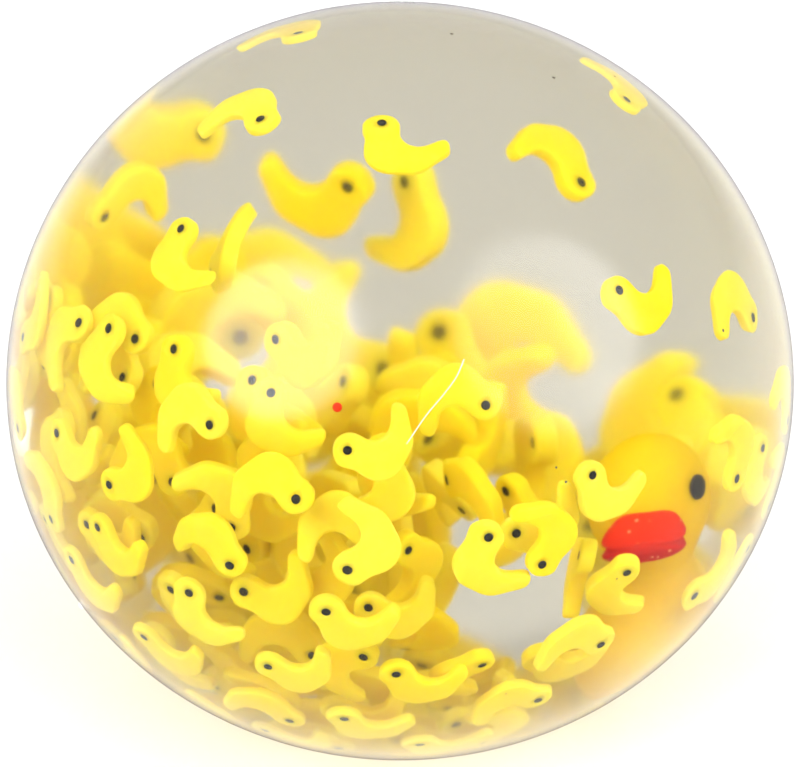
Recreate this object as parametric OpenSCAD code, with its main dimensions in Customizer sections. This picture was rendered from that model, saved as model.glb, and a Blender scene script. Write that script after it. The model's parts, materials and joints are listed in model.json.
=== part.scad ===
// Clear squeeze ball full of liquid, with thin duck slices and one small toy duck inside.
// Millimetres, +Z up, front towards -Y. The origin is the middle of the flat patch it rests on.

/* [Ball] */
// Width of the ball at its widest line
ball_w = 70; // [66:1:80]
// Rise of the crown above the widest line
crown_rise = 33.5; // [32:0.5:38]
// Depth of the lower bowl below the widest line, before the table flattens it
bowl_drop = 33; // [31.5:0.5:36]
// Height of the widest line above the table
sit_h = 29.5; // [28:0.5:31]
// Wall of the clear skin
skin_wall = 2.2; // [1.6:0.1:2.6]

/* [Fill port] */
// Turn of the port from straight back, about the upright axis
port_turn = 15; // [5:1:20]
// Bore of the port
port_d = 4.4; // [3:0.2:5]
// Width of the recess for the plug's head
recess_d = 7; // [6:0.2:7.6]
// Depth of that recess, from the outside
recess_depth = 1.3; // [1:0.1:1.4]
// Thickness of the plug's head
head_t = 0.6; // [0.4:0.1:0.7]
// Room between the plug, the seal and the skin
plug_gap = 0.05; // [0.03:0.01:0.1]
// How far a thumb pushes the plug in
squeeze_travel = 16; // [8:1:18]

/* [Duck slices] */
// Thickness of a slice
slice_t = 1.4; // [0.8:0.1:1.6]
// Radius of a slice's breast
slice_body_r = 2.2; // [2:0.05:2.3]
// Radius of its rump
slice_rump_r = 1.9; // [1.7:0.05:2]
// How far the tail stands out of the rump
slice_tail = 1.3; // [1:0.1:1.5]
// Width of the tail's blunt end
slice_tail_w = 1.3; // [1:0.1:1.5]
// Radius of the hollow back between head and tail
slice_back_r = 1.6; // [1.4:0.05:1.8]
// Radius of a slice's head
slice_head_r = 1.5; // [1.3:0.05:1.6]
// How far the bill stands out of the head
slice_bill = 0.3; // [0.2:0.05:0.5]
// Width of the eye, which goes right through
slice_eye_d = 0.76; // [0.5:0.02:1]
// Room between an eye and its slice
eye_gap = 0.05; // [0.04:0.01:0.08]
// Least room between two slices, and between a slice and the skin
slice_gap = 0.35; // [0.3:0.05:0.5]

/* [Heap] */
// Height of the heap's middle, over the widest line
heap_level = -1.5; // [-6:0.5:3]
// Fall of the heap per millimetre to the right
heap_fall_x = 0.3; // [0:0.05:0.4]
// Fall of the heap per millimetre to the back
heap_fall_y = 0.4; // [0:0.05:0.5]
// Height of the bumps in the heap's top, up or down
heap_rough_h = 2; // [0:0.5:4]
// How far the heap dips before the toy duck's face
heap_dip = 14; // [0:1:16]
// How wide that dip spreads
heap_dip_r = 10; // [6:1:14]
// Half width of the gap in the heap beside the toy duck
heap_gap_r = 2.4; // [0:0.2:4]

/* [Toy duck] */
// Height of the toy duck
duck_h = 20; // [17:0.5:21]
// Turn of the toy duck's place from the front, to the right
duck_turn = 60; // [54:1:64]
// Room from the widest wall to the toy duck's upright middle line
duck_inset = 14.8; // [14.2:0.1:16]
// Turn of its face from the front, to the right
duck_face = 6; // [-20:1:20]
// Depth of the toy duck's base under the widest line
duck_drop = 19; // [17.5:0.5:19.5]
// How far it can float up
duck_rise = 8; // [4:0.5:9]
// Radius of the toy duck's painted eyes
duck_eye_r = 0.9; // [0.6:0.1:1.1]
// Room left in the liquid around what it holds
liquid_gap = 0.12; // [0.08:0.02:0.14]

/* [Hidden] */
$fn = 64;
ball_r = ball_w / 2;
inner_r = ball_r - skin_wall;
// Long enough to cut right through a wall
past = 5;
golden_turn = 180 * (3 - sqrt(5));

// Slice outline: the duck looks towards -X, and the hollow of its back is cut out of breast and rump
slice_body_at = [-0.55, -0.5];
slice_rump_at = slice_body_at + [slice_body_r * 0.7, slice_body_r - slice_rump_r - 0.15];
slice_back_at = slice_rump_at + [-0.1, slice_back_r + 0.5];
slice_head_at = [-2, 1.35];
slice_bill_tip = slice_head_at + [-slice_head_r - slice_bill, -0.2];
slice_tail_turn = 35;
slice_tail_way = [cos(slice_tail_turn), sin(slice_tail_turn)];
slice_tail_side = [-sin(slice_tail_turn), cos(slice_tail_turn)];
slice_tail_end = slice_rump_at + (slice_rump_r + slice_tail) * slice_tail_way;
slice_eye_at = slice_head_at + [-0.1, 0.25];
slice_reach = max(
  norm(slice_head_at) + slice_head_r,
  norm(slice_bill_tip),
  norm(slice_tail_end - slice_tail_w / 2 * slice_tail_side),
  norm(slice_body_at) + slice_body_r,
  norm(slice_rump_at) + slice_rump_r
);
// Discs that cover the outline: head with bill, breast, rump and tail, each a middle and a radius
slice_tail_cover = 0.77 * slice_rump_r;
slice_tail_cover_in = sqrt(pow(slice_tail_cover, 2) - pow(slice_tail_w / 2, 2));
slice_tail_cover_at = slice_tail_end - slice_tail_cover_in * slice_tail_way;
slice_discs = [
  [slice_head_at - [slice_bill / 2, 0], slice_head_r + slice_bill / 2],
  [slice_body_at, slice_body_r],
  [slice_rump_at, slice_rump_r],
  [slice_tail_cover_at, slice_tail_cover]
];

// Layers of the heap, from the skin inwards: the most that a slice leans out of its layer
layer_lean = [8, 26, 34, 40, 44, 48];
layer_names = ["wall", "second", "third", "fourth", "fifth", "core"];
layer_count = len(layer_lean);
// Share of each layer's places that are tried
layer_fill = [1, 0.6, 0.45, 0.4, 0.25, 0.15];
// Depth of each layer under the one outside it
layer_step = 2.8;
// Turn of each layer's spiral from the layer outside it
layer_turn = 50;
// Numbers of one layer's places start this far after the last layer's
id_step = 10000;
// Spacing of the places that are tried in a layer, and how many ways up each is tried
try_pitch = 3.4;
tries = 3;
// A golden spiral of n points on a ball keeps them this far apart, times radius over root n
spiral_spread = 3.05;

function layer_half(k) = slice_reach * sin(layer_lean[k]) + slice_t / 2 * cos(layer_lean[k]);
// How far the ends of a flat slice stand out of a round layer of this radius
function end_rise(r) = slice_reach * slice_reach / (2 * r);
function layer_depth(k) = k * layer_step + slice_gap + layer_half(0) + end_rise(inner_r);

// Even but irregular number between 0 and 1 for the item i, and for the use that it is put to
function scatter(i, use) = let (v = sin(i * 78.233 + use * 37.719 + 11) * 4375.8545) v - floor(v);

// Height of a point at a depth under the skin's inner face, before the flat patch lifts it
function round_z(dir, depth) = sit_h + dir.z * ((dir.z > 0 ? crown_rise : bowl_drop) - skin_wall - depth);
function over_patch(dir, depth) = round_z(dir, depth) < skin_wall + depth;
// Point at a depth under the skin's inner face, in the direction of a unit vector
function under_skin(dir, depth) = let (flat = inner_r - depth)
  [dir.x * flat, dir.y * flat, max(round_z(dir, depth), skin_wall + depth)];
// Direction of the skin's face there: straight down over the flat patch
function skin_face(dir, depth) = over_patch(dir, depth) ? [0, 0, -1] : dir;

// Direction from a longitude, counted from the front to the right, and a latitude
function toward(lon, lat) = [cos(lat) * sin(lon), -cos(lat) * cos(lon), sin(lat)];

// Line along which the ball is squeezed, through its middle and the port
port_dir = [-sin(port_turn), cos(port_turn), 0];
port_far = inner_r - squeeze_travel;
function off_port_line(p) = let (q = p - [0, 0, sit_h]) norm(q - (q * port_dir) * port_dir);
function along_port_line(p) = abs((p - [0, 0, sit_h]) * port_dir);
// Whether a ball of this radius keeps out of the way of the pushed plug, also half a turn round
function clear_of_port(p, r) = off_port_line(p) > recess_d / 2 + r + slice_gap
  || along_port_line(p) < port_far - r - slice_gap;

// Toy duck's stations from its base up: height, half width, reach to the front and to the back,
// and how pointed its back is, for a toy duck 20 high
duck_stations = [
  [0, 3.4, 3.8, 3.4, 1],
  [0.5, 4.5, 4.9, 4.7, 1],
  [2.2, 5.6, 6.0, 6.2, 1.1],
  [4.4, 5.9, 6.4, 7.0, 1.3],
  [6.6, 5.3, 6.1, 7.6, 1.6],
  [8.4, 4.2, 5.2, 7.9, 1.9],
  [9.6, 3.4, 4.3, 5.4, 1.6],
  [10.6, 3.1, 3.8, 3.2, 1.1],
  [11.8, 3.6, 4.0, 3.4, 1],
  [13.4, 4.4, 4.5, 4.3, 1],
  [15.2, 4.7, 4.7, 4.7, 1],
  [17.2, 4.2, 4.2, 4.2, 1],
  [18.8, 2.9, 2.9, 2.9, 1],
  [19.7, 1.3, 1.3, 1.3, 1],
  [20, 0.3, 0.3, 0.3, 1]
];
duck_drawn_h = 20;
duck_scale = duck_h / duck_drawn_h;
duck_sides = 32;
duck_steps = 2;
// Wings: height, bulge, spread in height, and place and spread along the side
wing_h = 5.2;
wing_bulge_t = 0.7;
wing_tall = 1.8;
wing_back = -0.35;
wing_long = 0.4;
bill_h = 14.6;
// Eyes: height, turn from the front, and the middle's distance from the head's upright line
eye_h = 16.8;
eye_turn = 62;
eye_seat_r = 4.45;
duck_at = [
  (ball_r - duck_inset) * sin(duck_turn),
  -(ball_r - duck_inset) * cos(duck_turn),
  sit_h - duck_drop
];
duck_room = 8.2 * duck_scale;

// Whether a ball of this radius keeps out of the toy duck's way, at all heights that it floats to
function clear_of_duck(p, r) = norm([p.x - duck_at.x, p.y - duck_at.y]) > duck_room + r
  || p.z < duck_at.z - r - slice_gap
  || p.z > duck_at.z + duck_h + duck_rise + r + slice_gap;

// Slices that float free: longitude, latitude, depth under the skin, turn and lean
float_spots = [
  [-75, 65, 1.8, -30, 0],
  [0, 70, 1.8, 70, 0],
  [95, 60, 11, 190, 20],
  [-50, 42, 1.8, 70, 0],
  [-55, 48, 9, 200, 50],
  [50, 35, 1.8, 90, 0],
  [72, 24, 2, 260, 0],
  [-135, 65, 2, 20, 8],
  [110, 53, 2, 120, 8]
];
// Slices adrift over the back of the heap and round the toy duck, given alike
stray_spots = [
  [-155, 30, 19, 100, 60],
  [177, 14, 20, 40, 60],
  [-145, 12, 9, 150, 40],
  [-112, 28, 11, 300, 60],
  [150, 5, 4, 60, 30],
  [-20, 35, 7, 120, 35],
  [10, 28, 5, 300, 25],
  [33, 9, 1.9, 75, 0],
  [24, 4, 4.8, 130, 5],
  [36, -11, 3.2, 30, 28],
  [31, -28, 5, 110, 20],
  [68, -4, 1.9, 30, 0],
  [58, -17, 1.9, 150, 0]
];
// Side over which a spot's slice leans
spot_lean_turn = 40;
function spot_pose(s) = let (dir = toward(s[0], s[1]))
  [under_skin(dir, s[2]), dir, s[4], spot_lean_turn, s[3]];

// Height of the heap's top at a point: it slopes, is a little rough, and dips before the toy duck
dip_at = duck_at + heap_dip_r * [sin(duck_face), -cos(duck_face), 0];
function heap_top(p, i) = sit_h + heap_level - heap_fall_x * p.x - heap_fall_y * p.y
  + heap_rough_h * (2 * scatter(i, 4) - 1)
  - heap_dip * exp(-pow(norm([p.x - dip_at.x, p.y - dip_at.y]) / heap_dip_r, 2));

// Gap that runs back through the heap beside the toy duck: where it starts, and its direction
gap_from = [9, -33, 26];
gap_dir = toward(185, -18);
function off_gap(p) = norm(cross(p - gap_from, gap_dir));

// Radius of the skin's inner face at a height in the bowl
function bowl_r(z) = inner_r * sqrt(max(0, 1 - pow((sit_h - z) / (bowl_drop - skin_wall), 2)));
// Whether a slice of layer k keeps off the bowl if it lies over the flat patch, and else off the patch
function clear_of_patch(p, face, k) = let (ring = norm([face.x, face.y]), room = layer_half(k) + slice_gap)
  ring == 0
    ? norm([p.x, p.y]) + slice_reach < bowl_r(p.z - room)
    : p.z > skin_wall + slice_reach * ring + room;

function turn_x(v, a) = [v.x, v.y * cos(a) - v.z * sin(a), v.y * sin(a) + v.z * cos(a)];
function turn_y(v, a) = [v.x * cos(a) + v.z * sin(a), v.y, v.z * cos(a) - v.x * sin(a)];
function turn_z(v, a) = [v.x * cos(a) - v.y * sin(a), v.x * sin(a) + v.y * cos(a), v.z];
// Where a vector of the flat slice points in a pose: point, face, lean, side of the lean, and turn
function laid(v, pose) = let (
  leant = turn_y(turn_x(turn_z(v, pose[4]), pose[2] * cos(pose[3])), pose[2] * sin(pose[3])),
  face = pose[1]
) turn_z(turn_y(leant, acos(face.z)), atan2(face.y, face.x));

// A slice in its pose: number, pose, flat side's direction, and its discs
function slice_lying(id, pose) = [
  id,
  pose,
  laid([0, 0, 1], pose),
  [for (d = slice_discs) [pose[0] + laid([d[0].x, d[0].y, 0], pose), d[1]]]
];
// A slice that spins about its middle sweeps one disc
function slice_spinning(id, pose) = [id, pose, laid([0, 0, 1], pose), [[pose[0], slice_reach]]];

// Distance that surely parts two discs: along either one's axis, or between the balls round them
function disc_parting(a, b, a_up, b_up) = let (
  way = b[0] - a[0],
  c = min(1, abs(a_up * b_up)),
  lean = sqrt(1 - c * c),
  half = slice_t / 2
) max(
  norm(way) - norm([a[1], half]) - norm([b[1], half]),
  abs(way * a_up) - half - b[1] * lean - half * c,
  abs(way * b_up) - half - a[1] * lean - half * c
);
function parted(a, b) = norm(a[1][0] - b[1][0]) > 2 * norm([slice_reach, slice_t / 2]) + slice_gap
  || min([for (i = a[3], j = b[3]) disc_parting(i, j, a[2], b[2])]) > slice_gap;
function clear_of_fittings(a) = min([
  for (d = a[3])
    let (r = norm([d[1], slice_t / 2]))
      clear_of_port(d[0], r) && clear_of_duck(d[0], r) && off_gap(d[0]) > heap_gap_r + r ? 1 : 0
]) > 0;

// Places of one layer where a slice may come to lie, in the order in which they are tried
function layer_places(k) = let (
  depth = layer_depth(k),
  r = min(inner_r, bowl_drop - skin_wall, crown_rise - skin_wall) - depth,
  n = floor(pow(spiral_spread * max(r, 0) / try_pitch, 2))
) [
  for (i = [0:1:n - 1])
    let (
      tall = 1 - (2 * i + 1) / n,
      ring = sqrt(1 - tall * tall),
      turn = i * golden_turn + layer_turn * k,
      dir = [ring * cos(turn), ring * sin(turn), tall],
      p = under_skin(dir, depth),
      face = skin_face(dir, depth)
    )
      if (p.z < heap_top(p, i + id_step * k) && clear_of_patch(p, face, k))
        for (j = [0:tries - 1])
          let (
            id = i * tries + j + id_step * (k + 1),
            lean = layer_lean[k] * sqrt(scatter(id, 1)),
            lying = slice_lying(id, [p, face, lean, 360 * scatter(id, 2), 360 * scatter(id, 3)])
          )
            if (scatter(id, 5) < layer_fill[k] && clear_of_fittings(lying)) lying
];

// Slices lie down one by one, each where the ones before leave room
function settle(waiting, settled, i = 0) = i == len(waiting)
  ? settled
  : settle(
      waiting,
      min([for (b = settled) parted(waiting[i], b) ? 1 : 0]) > 0 ? concat(settled, [waiting[i]]) : settled,
      i + 1
    );
function heap_down_to(k) = k < 0
  ? concat(
      [for (s = float_spots) slice_spinning(0, spot_pose(s))],
      [for (s = stray_spots) slice_lying(0, spot_pose(s))]
    )
  : settle(layer_places(k), heap_down_to(k - 1));
function layer_slices(k) = [for (a = heap_down_to(k)) if (floor(a[0] / id_step) == k + 1) a];

function node_names(word, names) = [for (n = names) str(word, "_", n)];
float_count = len(float_spots);
float_numbers = [for (i = [1:float_count]) i];

// Right half of an oval about the widest line, between two heights
module oval_band(r, tall, low, high) {
  intersection() {
    translate([0, sit_h]) scale([1, tall / r]) circle(r, $fn = 128);
    translate([0, low]) square([r + past, high - low]);
  }
}

// Right half of the ball's upright section, drawn in by inset and flat at the bottom
module half_oval(inset) {
  r = ball_r - inset;
  oval_band(r, crown_rise - inset, sit_h, sit_h + crown_rise);
  oval_band(r, bowl_drop - inset, inset, sit_h);
}

module ball(inset) {
  rotate_extrude($fn = 128) half_oval(inset);
}

// Puts its children on the port's axis, with +Z pointing out of the ball
module at_port() {
  translate([0, 0, sit_h]) rotate([0, 0, port_turn]) rotate([-90, 0, 0]) children();
}

module skin() {
  color([0.93, 0.94, 0.93, 0.35])
    difference() {
      ball(0);
      ball(skin_wall);
      at_port() {
        cylinder(d = port_d, h = ball_w);
        translate([0, 0, ball_r - recess_depth]) cylinder(d = recess_d, h = past);
      }
    }
}

module fill_plug() {
  seat = ball_r - recess_depth;
  color([0.9, 0.92, 0.92, 0.6])
    at_port() {
      translate([0, 0, inner_r]) cylinder(d = port_d - 2 * plug_gap, h = seat - inner_r + head_t);
      translate([0, 0, seat + plug_gap]) cylinder(d = recess_d - 2 * plug_gap, h = head_t - plug_gap);
    }
}

module plug_seal() {
  color([0.88, 0.9, 0.9, 0.5])
    at_port()
      rotate_extrude()
        intersection() {
          circle(ball_r, $fn = 720);
          translate([0, ball_r - recess_depth + head_t + plug_gap])
            square([recess_d / 2 - plug_gap, past]);
        }
}

// One slice's outline, grown by an even margin
module slice_outline(grow) {
  difference() {
    union() {
      translate(slice_body_at) circle(slice_body_r + grow, $fn = 48);
      translate(slice_rump_at) circle(slice_rump_r + grow, $fn = 48);
      polygon([
        slice_rump_at,
        slice_rump_at - (slice_rump_r + grow) * slice_tail_side,
        slice_tail_end + grow * slice_tail_way - (slice_tail_w / 2 + grow) * slice_tail_side,
        slice_tail_end + grow * slice_tail_way + (slice_tail_w / 2 + grow) * slice_tail_side
      ]);
    }
    translate(slice_back_at) circle(slice_back_r - grow, $fn = 48);
  }
  translate(slice_head_at) circle(slice_head_r + grow, $fn = 48);
  polygon([
    slice_bill_tip + [-grow, 0],
    slice_head_at + [0, -slice_head_r * 0.6 - grow],
    slice_head_at + [0, slice_head_r * 0.6 + grow]
  ]);
}

module slice(grow) {
  linear_extrude(slice_t + 2 * grow, center = true) slice_outline(grow);
}

module slice_with_hole() {
  linear_extrude(slice_t, center = true)
    difference() {
      slice_outline(0);
      translate(slice_eye_at) circle(d = slice_eye_d + 2 * eye_gap, $fn = 24);
    }
}

module slice_eye() {
  translate(slice_eye_at) cylinder(d = slice_eye_d, h = slice_t, center = true, $fn = 24);
}

// Lays its children flat on a face in a direction, then leans and turns them
module lay(pose) {
  face = pose[1];
  translate(pose[0])
    rotate([0, acos(face.z), atan2(face.y, face.x)])
      rotate([pose[2] * cos(pose[3]), pose[2] * sin(pose[3]), 0])
        rotate([0, 0, pose[4]]) children();
}

module lay_spot(s) {
  lay(spot_pose(s)) children();
}

module lay_layer(k) {
  for (a = layer_slices(k)) lay(a[1]) children();
}

module yellow() {
  color([0.96, 0.84, 0.12]) children();
}

module black() {
  color([0.08, 0.08, 0.09]) children();
}

module float_slice(i) {
  yellow() lay_spot(float_spots[i - 1]) slice_with_hole();
}

module float_eye(i) {
  black() lay_spot(float_spots[i - 1]) slice_eye();
}

module stray_slices() {
  yellow() for (s = stray_spots) lay_spot(s) slice_with_hole();
}

module stray_eyes() {
  black() for (s = stray_spots) lay_spot(s) slice_eye();
}

module heap_slices(k) {
  yellow() lay_layer(k) slice_with_hole();
}

module heap_eyes(k) {
  black() lay_layer(k) slice_eye();
}

// Smooth curve through the stations, after Catmull and Rom, at a count from the first one
function station(list, i) = list[max(0, min(len(list) - 1, i))];
function smooth_at(list, t) = let (
  i = min(floor(t), len(list) - 2),
  u = t - i,
  a = station(list, i - 1),
  b = station(list, i),
  c = station(list, i + 1),
  d = station(list, i + 2)
) b + u * (c - a) / 2 + u * u * (a - 2.5 * b + 2 * c - d / 2) + u * u * u * ((d - a) / 2 + 1.5 * (b - c));

// Closed skin over rings of equal length, the first and the last ring flat
module loft(rings) {
  n = len(rings[0]);
  m = len(rings);
  polyhedron(
    points = [for (ring = rings) each ring],
    faces = concat(
      [[for (j = [0:n - 1]) j]],
      [
        for (i = [0:m - 2], j = [0:n - 1])
          let (a = i * n + j, b = i * n + (j + 1) % n)
            each [[a, a + n, b], [b, a + n, b + n]]
      ],
      [[for (j = [n - 1:-1:0]) (m - 1) * n + j]]
    ),
    convexity = 6
  );
}

function bump(x, middle, spread) = exp(-pow((x - middle) / spread, 2));

// One ring of the toy duck: an egg whose back end draws out to the tail, with a wing on each side
function duck_ring(s) = [
  for (j = [0:duck_sides - 1])
    let (
      a = 360 * j / duck_sides,
      side = sin(a),
      ahead = cos(a),
      wing = wing_bulge_t * bump(s[0], wing_h, wing_tall) * bump(ahead, wing_back, wing_long)
    ) [
      side * (s[1] + wing),
      ahead > 0 ? -s[2] * ahead : s[3] * pow(-ahead, s[4]),
      s[0]
    ]
];

module duck_form() {
  last = (len(duck_stations) - 1) * duck_steps;
  loft([for (i = [0:last]) duck_ring(smooth_at(duck_stations, i / duck_steps))]);
}

module at_duck() {
  translate(duck_at) rotate([0, 0, duck_face]) scale(duck_scale) children();
}

module duck_body() {
  color([0.95, 0.72, 0.05]) at_duck() duck_form();
}

// Bill's stations from inside the head outwards: reach, half width, half height and middle height
bill_stations = [
  [3.0, 2.2, 1.6, 0.1],
  [4.4, 3.1, 1.8, 0],
  [5.6, 3.7, 1.6, -0.2],
  [6.6, 3.6, 1.2, -0.2],
  [7.3, 2.8, 0.8, 0],
  [7.7, 1.3, 0.5, 0.2]
];
bill_sides = 20;
bill_steps = 2;

function bill_ring(s) = [
  for (j = [0:bill_sides - 1])
    let (a = 360 * j / bill_sides) [s[1] * cos(a), -s[0], bill_h + s[3] + s[2] * sin(a)]
];

module bill_form() {
  last = (len(bill_stations) - 1) * bill_steps;
  loft([for (i = [0:last]) bill_ring(smooth_at(bill_stations, i / bill_steps))]);
}

module duck_bill() {
  color([0.85, 0.12, 0.06])
    at_duck()
      difference() {
        bill_form();
        duck_form();
      }
}

module duck_eyes() {
  black()
    at_duck()
      for (side = [-1, 1])
        difference() {
          translate([side * eye_seat_r * sin(eye_turn), -eye_seat_r * cos(eye_turn), eye_h])
            sphere(duck_eye_r, $fn = 24);
          duck_form();
        }
}

module liquid_fill() {
  color([0.95, 0.94, 0.88, 0.15])
    difference() {
      ball(skin_wall + liquid_gap);
      for (a = heap_down_to(layer_count - 1)) lay(a[1]) slice(liquid_gap);
      translate(duck_at - [0, 0, liquid_gap])
        cylinder(r = duck_room, h = duck_h + 2 * liquid_gap);
    }
}

skin();
fill_plug();
plug_seal();
liquid_fill();
duck_body();
duck_bill();
duck_eyes();
for (i = float_numbers) {
  float_slice(i);
  float_eye(i);
}
stray_slices();
stray_eyes();
for (k = [0:layer_count - 1]) {
  heap_slices(k);
  heap_eyes(k);
}
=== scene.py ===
import json
import math
import random

import bmesh
import bpy
import numpy as np
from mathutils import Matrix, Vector
from mathutils.geometry import delaunay_2d_cdt

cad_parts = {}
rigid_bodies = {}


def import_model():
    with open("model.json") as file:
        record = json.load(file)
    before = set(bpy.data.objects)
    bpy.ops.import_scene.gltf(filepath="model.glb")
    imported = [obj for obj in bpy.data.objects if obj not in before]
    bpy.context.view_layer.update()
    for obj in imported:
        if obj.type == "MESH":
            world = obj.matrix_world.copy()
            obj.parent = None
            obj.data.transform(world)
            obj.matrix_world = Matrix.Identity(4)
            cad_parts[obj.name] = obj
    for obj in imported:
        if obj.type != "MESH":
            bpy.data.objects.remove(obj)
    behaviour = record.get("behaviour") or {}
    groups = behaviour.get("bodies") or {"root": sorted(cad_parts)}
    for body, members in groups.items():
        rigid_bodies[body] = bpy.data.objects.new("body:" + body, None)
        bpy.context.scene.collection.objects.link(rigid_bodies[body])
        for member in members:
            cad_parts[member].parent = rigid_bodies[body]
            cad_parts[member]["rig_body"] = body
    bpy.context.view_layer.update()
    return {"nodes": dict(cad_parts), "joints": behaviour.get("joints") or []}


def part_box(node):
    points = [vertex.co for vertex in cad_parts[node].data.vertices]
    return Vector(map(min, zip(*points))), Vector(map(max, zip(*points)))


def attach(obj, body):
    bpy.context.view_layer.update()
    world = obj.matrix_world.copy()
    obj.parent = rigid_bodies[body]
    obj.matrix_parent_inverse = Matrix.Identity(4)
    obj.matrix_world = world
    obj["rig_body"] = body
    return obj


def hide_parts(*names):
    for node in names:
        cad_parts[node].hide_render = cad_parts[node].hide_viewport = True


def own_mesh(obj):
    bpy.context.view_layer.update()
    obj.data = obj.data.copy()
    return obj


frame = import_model()

# Duck slices: soft yellow clay, drawn into a long duck-shaped cane and cut across with a blade, so
# that all have one outline. They lie loose in the liquid, some afloat and most in a heap, a little bent.
MM = 0.001
WELD = 0.0002 * MM
OUTLINE_POINTS = 64
OUTLINE_SOFTENINGS = 4
EDGE_ROUNDING = 0.24 * MM
# The rounding is at most this share of the slice's width, taken between edges that face each other
# by this much, and each point of the outline takes the least of its neighbours' roundings
NARROW_SHARE = 0.35
FACING_EDGES = -0.3
NEIGHBOURS = range(-2, 3)
# Face of the slice on which each ring of the rounded edge lies, and the ring's turn over the rounding
EDGE_SIDES = (-1, -1, -1, 1, 1, 1)
EDGE_TURNS = np.radians([-90, -45, 0, 0, 45, 90])
# Step of the points over the face, and the share of a step that they keep from its edge
FACE_STEP = 0.55 * MM
FROM_EDGE = 0.6
EYE_SIDES = 16
EYE_SINK = 0.04 * MM
EYE_DISH = 0.6
# Curvature of the bend, in radians per metre: most slices are nearly flat, and a few curl up
LEAST_BOW, MORE_BOW, CURL_RARITY = 15, 190, 3
LEAST_SIZE, MOST_SIZE = 0.93, 1.04
# Share of the deep yellow: by slice, by mottling, and what is taken off so that the palest stay pale
TONE_SHARE, MOTTLE_SHARE, KEPT_PALE = 0.75, 0.5, 0.12
CRUMB_GRAIN, CRUMB_SHARE = (0.62, 0.78), 0.35
PALE_YELLOW = (0.90, 0.75, 0.075, 1)
DEEP_YELLOW = (0.91, 0.67, 0.006, 1)
CRUMB_YELLOW = (0.85, 0.62, 0.004, 1)
EYE_BLACK = (0.012, 0.012, 0.014, 1)
EYE_GREY = (0.05, 0.05, 0.048, 1)
# Liquid bends light nearly as these pieces do, so they mirror nothing in it
UNDER_LIQUID = 0

ball_low, ball_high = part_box("skin")
ball_r = (ball_high.x - ball_low.x) / 2
ball_middle = np.array((ball_low + ball_high) / 2)
squeeze = next(joint for joint in frame["joints"] if joint["name"] == "squeeze")
squeeze_way = np.array(squeeze["axis"])
squeeze_keep = 1 - squeeze["range_m"][1] / (2 * ball_r)


class Wire:
    """A socket in a material. Arithmetic on wires adds Math nodes, and node() adds any other kind."""

    def __init__(self, tree, socket=None):
        self.tree = tree
        self.socket = socket

    def node(self, kind, settings=None, values=None, out=0):
        made = self.tree.nodes.new("ShaderNode" + kind)
        for name, value in (settings or {}).items():
            setattr(made, name, value)
        for name, value in (values or {}).items():
            if isinstance(value, Wire):
                self.tree.links.new(value.socket, made.inputs[name])
            else:
                made.inputs[name].default_value = value
        return Wire(self.tree, made.outputs[out]) if made.outputs else None

    def math(self, operation, *terms):
        return self.node("Math", {"operation": operation}, dict(enumerate(terms)))

    def colours(self, share, first, second):
        return self.node("Mix", {"data_type": "RGBA"}, {0: share, 6: first, 7: second}, out=2)

    def fade(self, value, start, end, low, high, curve="SMOOTHSTEP"):
        """A wire that goes from low to high as a value goes from start to end."""
        spans = {0: value, 1: start, 2: end, 3: low, 4: high}
        return self.node("MapRange", {"interpolation_type": curve}, spans)

    def surface(self, shader):
        self.node("OutputMaterial", {}, {"Surface": shader})

    def __add__(self, other):
        return self.math("ADD", self, other)

    def __sub__(self, other):
        return self.math("SUBTRACT", self, other)

    def __rsub__(self, other):
        return self.math("SUBTRACT", other, self)

    def __mul__(self, other):
        return self.math("MULTIPLY", self, other)

    def __lt__(self, other):
        return self.math("LESS_THAN", self, other)

    def __gt__(self, other):
        return self.math("GREATER_THAN", self, other)

    __radd__ = __add__
    __rmul__ = __mul__


def new_finish(name):
    """An empty material, and a wire to build it with."""
    material = bpy.data.materials.new(name)
    material.use_nodes = True
    material.node_tree.nodes.clear()
    return material, Wire(material.node_tree)


def add_piece(name, points, faces, material, body, replaced):
    """A smooth mesh that rides on a body and stands for some CAD nodes, which it hides."""
    mesh = bpy.data.meshes.new(name)
    mesh.from_pydata(np.asarray(points).tolist(), [], faces)
    mesh.validate()
    mesh.shade_smooth()
    mesh.materials.append(material)
    thing = bpy.data.objects.new(name, mesh)
    bpy.context.collection.objects.link(thing)
    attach(thing, body)
    if replaced:
        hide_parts(*replaced)
    return thing


def soft(thing):
    """The piece gets a mesh of its own."""
    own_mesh(thing)


def solids(node):
    """Points and triangles of each separate solid in a CAD node."""
    work = bmesh.new()
    work.from_mesh(frame["nodes"][node].data)
    bmesh.ops.remove_doubles(work, verts=work.verts, dist=WELD)
    found, seen = [], set()
    for first in work.verts:
        if first in seen:
            continue
        seen.add(first)
        queue = [first]
        for corner in queue:
            for edge in corner.link_edges:
                other = edge.other_vert(corner)
                if other not in seen:
                    seen.add(other)
                    queue.append(other)
        number = {corner: i for i, corner in enumerate(queue)}
        faces = dict.fromkeys(face for corner in queue for face in corner.link_faces)
        triangles = [[number[corner] for corner in face.verts] for face in faces]
        found.append((np.array([corner.co for corner in queue], float), np.array(triangles)))
    work.free()
    return found


def surface_middle(points, triangles):
    """Middle of a solid's surface, each triangle counted by its area."""
    a, b, c = (points[triangles[:, i]] for i in range(3))
    area = np.linalg.norm(np.cross(b - a, c - a), axis=1)
    return ((a + b + c) / 3 * area[:, None]).sum(0) / area.sum()


def face_way(points):
    """Direction out of a slice's flat face."""
    return np.linalg.svd(points - points.mean(0), full_matrices=False)[2][2]


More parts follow.
